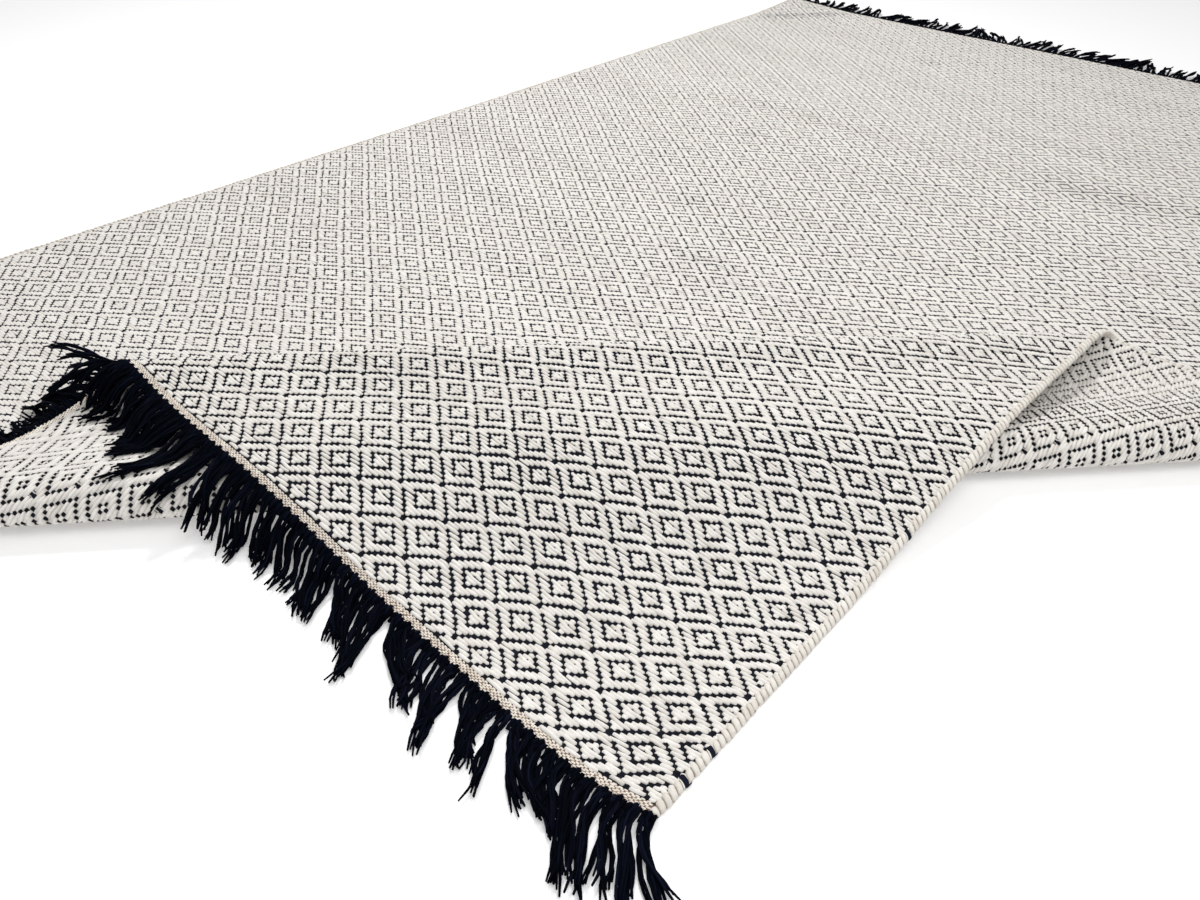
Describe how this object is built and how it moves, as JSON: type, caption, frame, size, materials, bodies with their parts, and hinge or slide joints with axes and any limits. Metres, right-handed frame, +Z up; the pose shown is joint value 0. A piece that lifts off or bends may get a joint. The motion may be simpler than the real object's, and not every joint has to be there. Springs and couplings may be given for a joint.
{
  "type": "dhurrie rug",
  "caption": "Flat-woven dhurrie rug in ivory with a small navy diamond weave, bound selvedges, tan headings and navy fringes, a corner folded over in a loose Z.",
  "frame": {"origin": "middle of the whole rug's outline, fringes included, on the surface it lies on", "axes": "+Z up; +Y along the warp, from the folded end towards the flat end; +X across the rug, towards the folded corner"},
  "size_m": [1.6001, 2.5251, 0.0712],
  "materials": {
    "cloth": "matt ivory flat weave with navy",
    "heading": "matt tan plain weave",
    "selvedge": "matt cream wrapped yarn",
    "fringe": "matt navy cotton strands"
  },
  "bodies": {
    "root": {"rug_cloth": "cloth", "heading_near": "heading", "heading_far": "heading", "selvedge_left": "selvedge", "selvedge_right": "selvedge", "fringe_near": "fringe", "fringe_far": "fringe"}
  },
  "joints": []
}
